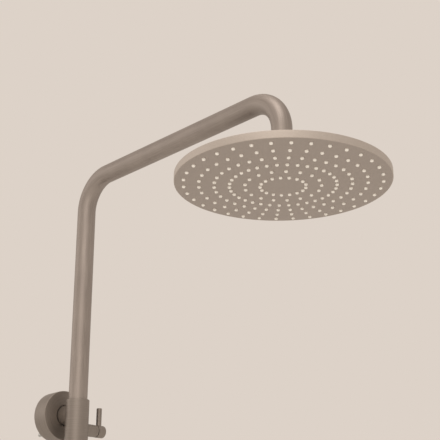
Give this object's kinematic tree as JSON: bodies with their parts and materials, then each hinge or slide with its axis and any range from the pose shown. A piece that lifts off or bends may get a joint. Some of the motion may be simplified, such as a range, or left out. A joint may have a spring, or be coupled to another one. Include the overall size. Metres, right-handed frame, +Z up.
{
  "type": "thermostatic shower mixer set",
  "caption": "Wall-mounted thermostatic shower column: bar mixer with pin-lever handles, telescopic riser clamped in a wall bracket, swivelling arm and round overhead shower on a ball joint.",
  "frame": {"origin": "on the wall plane, midway between the hot and the cold inlet, at the height of the mixer's axis", "axes": "+X along the wall with hot water at -X and cold at +X, +Y into the wall, +Z up"},
  "size_m": [0.2652, 0.5195, 1.1344],
  "materials": {
    "satin_nickel": "satin brushed warm nickel",
    "face_nickel": "fine matt nickel, spray face and rim",
    "nozzle_silicone": "soft white silicone",
    "brass": "machined brass",
    "steel": "plain stainless steel",
    "acetal": "white acetal",
    "dark_plastic": "black moulded plastic",
    "ceramic": "lapped ceramic",
    "seal_rubber": "black rubber",
    "button_red": "red moulded plastic"
  },
  "bodies": {
    "base": {"mixer_body": "satin_nickel", "column_nut": "satin_nickel", "column_seal": "seal_rubber", "wall_unions": "brass", "strainer_washers": "seal_rubber", "union_nuts": "satin_nickel", "union_rosettes": "satin_nickel", "check_valves": "acetal", "thermo_housing": "brass", "thermo_spring": "steel", "cartridge_nuts": "brass", "stop_ring": "dark_plastic", "diverter_housing": "brass", "diverter_gasket": "seal_rubber", "fixed_disc": "ceramic", "column_tube": "satin_nickel", "bracket_body": "satin_nickel", "guide_ring": "dark_plastic", "bracket_rosette": "satin_nickel", "wall_plate": "steel", "wall_screws": "steel", "bracket_grub": "steel"},
    "gland": {"riser_gland": "acetal", "gland_seals": "seal_rubber"},
    "riser": {"riser_arm": "satin_nickel", "ball_stud": "satin_nickel", "flow_restrictor": "dark_plastic"},
    "seat": {"ball_seat": "acetal"},
    "head": {"head_cover": "face_nickel", "socket_nut": "satin_nickel", "face_plate": "face_nickel", "nozzle_mat": "nozzle_silicone", "backing_plate": "dark_plastic", "head_gasket": "seal_rubber"},
    "clamp_pad": {"clamp_pad": "acetal"},
    "clamp_screw": {"clamp_spindle": "steel", "clamp_knob": "satin_nickel", "clamp_lever": "satin_nickel"},
    "hot_valve": {"hot_poppet": "acetal"},
    "cold_valve": {"cold_poppet": "acetal"},
    "temp_control": {"temp_handle": "satin_nickel", "temp_lever": "satin_nickel", "temp_cap": "satin_nickel", "temp_spindle": "brass"},
    "stop": {"stop_button": "button_red"},
    "thermo_slide": {"regulating_slide": "steel", "wax_element": "brass"},
    "flow_control": {"flow_handle": "satin_nickel", "flow_lever": "satin_nickel", "flow_cap": "satin_nickel", "diverter_stem": "brass", "moving_disc": "ceramic"},
    "slide_rings": {"holder_rings": "acetal"},
    "holder": {"holder_slider": "satin_nickel", "cradle_screw": "steel"},
    "cradle": {"holder_cradle": "satin_nickel"},
    "holder_pad": {"holder_pad": "acetal"},
    "holder_screw": {"holder_spindle": "steel", "holder_knob": "satin_nickel", "holder_lever": "satin_nickel"}
  },
  "joints": [
    {"name": "riser_height", "type": "slide", "parent": "base", "child": "gland", "axis": [0, 0, 1], "range_m": [-0.1, 0.12]},
    {"name": "arm_swivel", "type": "hinge", "parent": "gland", "child": "riser", "pos_m": [0, -0.0452, 0.8], "axis": [0, 0, 1], "range_deg": [-70, 70]},
    {"name": "head_tilt", "type": "hinge", "parent": "riser", "child": "seat", "pos_m": [0, -0.3797, 1.019], "axis": [1, 0, 0], "range_deg": [-10, 10]},
    {"name": "head_roll", "type": "hinge", "parent": "seat", "child": "head", "pos_m": [0, -0.3797, 1.019], "axis": [0, 1, 0], "range_deg": [-10, 10]},
    {"name": "clamp_advance", "type": "slide", "parent": "base", "child": "clamp_pad", "axis": [1, 0, 0], "range_m": [0, 0.001]},
    {"name": "clamp_turn", "type": "hinge", "parent": "clamp_pad", "child": "clamp_screw", "pos_m": [0.03, -0.0452, 0.7818], "axis": [1, 0, 0], "range_deg": [0, 270]},
    {"name": "hot_check", "type": "slide", "parent": "base", "child": "hot_valve", "axis": [0, -1, 0], "range_m": [0, 0.0025], "stiffness_N_per_m": 60},
    {"name": "cold_check", "type": "slide", "parent": "base", "child": "cold_valve", "axis": [0, -1, 0], "range_m": [0, 0.0025], "stiffness_N_per_m": 60},
    {"name": "temp_turn", "type": "hinge", "parent": "base", "child": "temp_control", "pos_m": [0.11, -0.052, 0], "axis": [1, 0, 0], "range_deg": [-60, 150]},
    {"name": "stop_press", "type": "slide", "parent": "temp_control", "child": "stop", "axis": [0, 1, 0], "range_m": [0, 0.002], "stiffness_N_per_m": 400},
    {"name": "thermo_travel", "type": "slide", "parent": "base", "child": "thermo_slide", "axis": [1, 0, 0], "range_m": [-0.0003, 0.0007], "deforming": ["thermo_spring"]},
    {"name": "flow_turn", "type": "hinge", "parent": "base", "child": "flow_control", "pos_m": [-0.11, -0.052, 0], "axis": [-1, 0, 0], "range_deg": [-75, 75]},
    {"name": "holder_height", "type": "slide", "parent": "base", "child": "slide_rings", "axis": [0, 0, 1], "range_m": [-0.4, 0.22]},
    {"name": "holder_swivel", "type": "hinge", "parent": "slide_rings", "child": "holder", "pos_m": [0, -0.0452, 0.48], "axis": [0, 0, 1], "range_deg": [-90, 40]},
    {"name": "cradle_tilt", "type": "hinge", "parent": "holder", "child": "cradle", "pos_m": [0.0175, -0.0452, 0.48], "axis": [1, 0, 0], "range_deg": [-40, 40]},
    {"name": "holder_advance", "type": "slide", "parent": "holder", "child": "holder_pad", "axis": [-1, 0, 0], "range_m": [0, 0.001]},
    {"name": "holder_turn", "type": "hinge", "parent": "holder_pad", "child": "holder_screw", "pos_m": [-0.025, -0.0452, 0.48], "axis": [-1, 0, 0], "range_deg": [0, 270]}
  ],
  "couplings": [
    {"joint": "clamp_advance", "follows": "clamp_turn", "m_per_rad": 0.00019894},
    {"joint": "holder_advance", "follows": "holder_turn", "m_per_rad": 0.00019894},
    {"joint": "thermo_travel", "follows": "temp_turn", "m_per_rad": 0.00023873}
  ]
}
